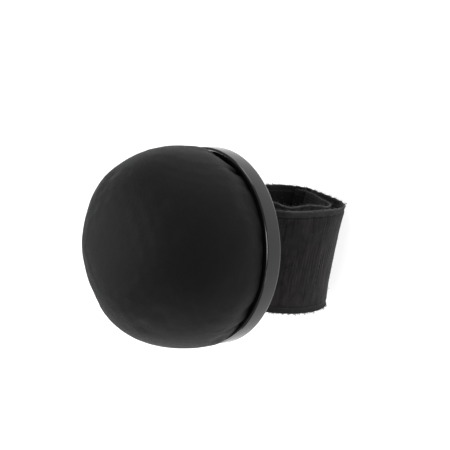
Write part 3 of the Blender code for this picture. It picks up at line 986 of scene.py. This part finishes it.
def outer_shift(run, y):
    """The outer arm's edges wander a little, and flare where it turns at the bottom."""
    wander = 0.22 * MM * ripple(run / (11 * MM), np.sign(y) * 2.0, 31)
    wander = wander + 0.13 * MM * ripple(run / (1.9 * MM), np.sign(y) * 5.0, 37)
    flare = 0.7 * MM * np.exp(-(((run - 79 * MM) / (13 * MM)) ** 2)) * np.sign(y)
    return (wander + flare) * smoothstep(abs(y), 8 * MM, EDGE_Y)


# run and sideways place of the inner arm's +Y edge, in mm: it lies in slack waves
INNER_EDGE = (
    (0, 0.0), (8, 2.2), (15, 0.3), (23, 1.7), (28, 1.4), (33, 0.2), (36, -0.3), (50, -0.7),
    (70, -0.7),
)


def inner_shift(run, y):
    """The inner arm lies a little askew, with slack waves along its +Y edge."""
    places = np.array(INNER_EDGE) * MM
    smooth_run = np.linspace(0, places[-1, 0], 400)
    line = np.interp(smooth_run, places[:, 0], places[:, 1])
    window = np.hanning(41) / np.hanning(41).sum()
    line = np.convolve(np.pad(line, len(window) // 2, mode="edge"), window, "valid")
    slack = np.interp(run, smooth_run, line)
    at_low_edge = 0.45 * slack
    return at_low_edge + (slack - at_low_edge) * smoothstep(y, -EDGE_Y, EDGE_Y)


def outer_lift(run, y):
    """The outer arm's edges stand away from the loop where it turns up from the bottom."""
    turn = np.exp(-(((run - 73 * MM) / (8 * MM)) ** 2))
    return -1.0 * MM * turn * (abs(y) / EDGE_Y) ** 3


def inner_lift(run, y):
    """The inner arm cuts the corner at the bottom, and its +Y edge most of all."""
    turn = np.exp(-(((run - 46 * MM) / (9 * MM)) ** 2))
    return 2.4 * MM * turn * (0.55 + 0.45 * y / EDGE_Y)


def make_fuzz(name, path, low, high, shift, lift_off, flip, seeds, curl):
    """Stray fibres of the pile: bent hairs on both faces, thickest along the woven edges.

    seeds are the tape's own, which places the hairs on its surface, and the hairs'.
    """
    tape_seed, hair_seed = seeds
    chance = random.Random(hair_seed)
    lines = []
    for i in range(int((high - low) / MM * FUZZ_PER_MM)):
        run = chance.uniform(low, high)
        if i % 5 < 1:
            y = chance.uniform(-EDGE_Y, EDGE_Y)
        else:
            y = chance.choice((-1, -1, 1)) * (EDGE_Y - abs(chance.gauss(0, 0.5 * MM)))
        face = chance.choice((-1, 1))
        at, inward, tangent = path.at(run), path.inward(run) * flip, path.tangent(run)
        off = float(lift_off(run, y)) + float(edge_curl(run, y, tape_seed, curl))
        height = float(tape_section(run, y, face, tape_seed)) - 0.04 * MM
        place = np.array([at[0], y + float(shift(run, y)), at[1]])
        out = np.array([inward[0], 0, inward[1]])
        go = np.array([tangent[0], 0, tangent[1]])
        place = place + out * (off - face * height)
        at_edge = EDGE_Y - abs(y) < 0.8 * MM
        sideways = chance.uniform(0.2, 1.0) if at_edge else chance.uniform(-0.6, 0.6)
        lean = np.array([0.0, math.copysign(sideways, y), 0.0])
        way = -face * out * chance.uniform(0.15, 0.7) + lean + go * chance.uniform(-0.8, 0.8)
        bend = go * chance.uniform(-1, 1) + np.array([0, chance.uniform(-1, 1), 0])
        bend = bend - face * out * 0.2
        length = chance.uniform(0.4, 1.1 if at_edge else 0.9) * MM
        line = []
        for step in range(5):
            share = step / 4
            point = place + (way * share + bend * 0.5 * share**2) * length
            point[2] = max(point[2], FUZZ_R)  # pressed flat where the loop stands
            line.append(point)
        lines.append(line)
    fuzz = tubes(name, lines, FUZZ_R, MATERIALS["pile_fuzz"], sides=3)
    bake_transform(fuzz)


def make_arm(name, path, hinges, cut_runs, shift, seed, curl, flip, lift_off):
    """An arm's pieces: one across each hinge, and the last also makes the free end."""
    for i in range(len(hinges)):
        low = cut_runs[i]
        last = i == len(hinges) - 1
        high = path.length if last else cut_runs[i + 1]
        piece = tape(
            f"{name}_tape_{i + 1}", path, rib_runs(low, high), shift, seed, curl,
            high if last else None, flip, lift_off,
        )
        start, end = path.at(low), path.at(cut_runs[i + 1])
        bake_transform(piece)
        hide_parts(f"{name}_strap_segment_{i + 1}")
        make_fuzz(
            f"{name}_fuzz_{i + 1}", path, low, high, shift, lift_off, flip, (seed, seed + i),
            curl,
        )


def make_bridge():
    path = bridge_path()
    runs = np.linspace(0, path.length, round(path.length / (RIB_PITCH / STATIONS_PER_RIB)))

    def shift(run, y):
        inner_run = np.clip(INNER_CUTS[0] - run, 0, None)
        outer_run = np.clip(run - path.length + OUTER_CUTS[0], 0, None)
        inner = inner_shift(inner_run, y) * (inner_run > 0)
        return inner + outer_shift(outer_run, y) * (outer_run > 0)

    bridge = tape("crossing_tape", path, runs, shift, OUTER_SEED, 0, flip=-1)
    finish_piece(bridge, "strap_bridge")
    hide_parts("outer_strap_anchor", "inner_strap_anchor")


def make_strap():
    make_bridge()
    make_arm(
        "outer", OUTER_PATH, OUTER_HINGES, OUTER_CUTS, outer_shift, OUTER_SEED,
        curl=0.3 * MM, flip=1, lift_off=outer_lift,
    )
    make_arm(
        "inner", INNER_PATH, INNER_HINGES, INNER_CUTS, inner_shift, INNER_SEED,
        curl=0.35 * MM, flip=-1, lift_off=inner_lift,
    )
    make_hook_patch()
    make_stitching()


def blend_on_last_hinge(piece):
    start, end = OUTER_PATH.at(OUTER_CUTS[-2]), OUTER_PATH.at(OUTER_CUTS[-1])
    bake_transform(piece)


def make_hook_patch():
    """A thin backing on the outer arm's inner face, with rows of small bent hooks."""
    low, high = PATCH_SPAN
    back = STRAP_THICK / 2
    runs = np.linspace(low, high, 60)
    half = PATCH_WIDTH / 2
    top = back + HOOK_BACKING
    section = [(-half, back), (half, back), (half, top), (-half, top)]
    points, faces = [], []
    for run in runs:
        at, inward = OUTER_PATH.at(run), OUTER_PATH.inward(run)
        for y, depth in section:
            x, z = at + inward * depth
            points.append((x, y, z))
    for i in range(len(runs) - 1):
        for k in range(4):
            m = (k + 1) % 4
            faces.append((4 * i + k, 4 * i + m, 4 * i + 4 + m, 4 * i + 4 + k))
    faces += [(0, 1, 2, 3), tuple(4 * (len(runs) - 1) + k for k in range(4))]
    backing = mesh_object("hook_backing", points, faces, MATERIALS["hook_tape"], 40)

    chance = random.Random(4)
    lines = []
    row_pitch, hook_pitch = HOOK_PITCH
    for i in range(1, int((high - low) / row_pitch)):
        run = low + i * row_pitch
        at, inward, tangent = OUTER_PATH.at(run), OUTER_PATH.inward(run), OUTER_PATH.tangent(run)
        lean = 1 if i % 2 else -1
        for k in range(-14, 15):
            y = k * hook_pitch + lean * 0.3 * MM + chance.uniform(-0.08, 0.08) * MM
            line = []
            for step in range(6):
                angle = math.radians(210 * step / 5)
                reach = lean * 0.22 * MM * (1 - math.cos(angle)) / 2
                rise = (0.05 + 0.42 * min(1, step / 3)) * MM - 0.12 * MM * max(0, step - 3.5)
                x, z = at + inward * (top + rise) + tangent * reach
                line.append((x, y, z))
            lines.append(line)
    hooks = tubes("hook_rows", lines, 0.07 * MM, MATERIALS["hook_tape"], sides=4)
    for piece in (backing, hooks):
        blend_on_last_hinge(piece)
    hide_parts("hook_patch")


def make_stitching():
    """Two rows of lockstitch, sunk in the outer face over the patch's ends."""
    for number, run in enumerate(STITCH_ROWS, 1):
        at, inward = OUTER_PATH.at(run), OUTER_PATH.inward(run)
        lines = []
        y, y_last = STITCH_SPAN
        while y < y_last:
            line = []
            for step in range(7):
                share = step / 6
                sunk = 0.16 * MM + 0.3 * MM * abs(2 * share - 1) ** 4
                x, z = at - inward * (STRAP_THICK / 2 + 0.05 * MM - sunk)
                line.append((x, y + STITCH_LENGTH * share, z))
            lines.append(line)
            y += STITCH_PITCH
        piece = tubes(f"lockstitch_{number}", lines, 0.14 * MM, MATERIALS["thread"])
        blend_on_last_hinge(piece)
        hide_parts(f"patch_stitching_{number}")


# --- studio ------------------------------------------------------------------------------------


def area_light(name, at, to, size, energy):
    data = bpy.data.lights.new(name, "AREA")
    data.shape = "DISK"
    data.size = size
    data.energy = energy
    light = link(bpy.data.objects.new(name, data))
    light.location = at
    light.rotation_euler = (Vector(to) - Vector(at)).to_track_quat("-Z", "Y").to_euler()


def make_studio():
    scene = bpy.context.scene
    scene.view_settings.view_transform = "Standard"
    world = bpy.data.worlds.new("studio")
    scene.world = world
    world.use_nodes = True
    background = world.node_tree.nodes["Background"]
    background.inputs["Color"].default_value = (1, 1, 1, 1)
    background.inputs["Strength"].default_value = WORLD_STRENGTH
    h = FLOOR_HALF
    corners = [(-h, -h, FLOOR_Z), (h, -h, FLOOR_Z), (h, h, FLOOR_Z), (-h, h, FLOOR_Z)]
    floor = mesh_object("floor", corners, [(0, 1, 2, 3)], floor_material())
    for light in LIGHTS:
        area_light(*light)


def make_camera():
    """Looks down on the lip's middle from the +X +Y side, rolled so that +Y is nearly up."""
    forward = Vector(CAMERA_FORWARD).normalized()
    right = forward.cross(Vector(CAMERA_UP)).normalized()
    up = right.cross(forward)
    target = Vector((0, 0, LIP_Z))
    data = bpy.data.cameras.new("camera")
    data.lens = CAMERA_LENS
    data.sensor_width = CAMERA_SENSOR
    data.shift_x, data.shift_y = CAMERA_SHIFT
    data.clip_start = 0.01
    camera = link(bpy.data.objects.new("camera", data))
    turn = Matrix((right, up, -forward)).transposed()
    camera.matrix_world = Matrix.Translation(target - CAMERA_DISTANCE * forward) @ turn.to_4x4()
    bpy.context.scene.camera = camera


make_camera()
make_studio()
make_tray()
make_inside()
make_cushion()
make_strap()
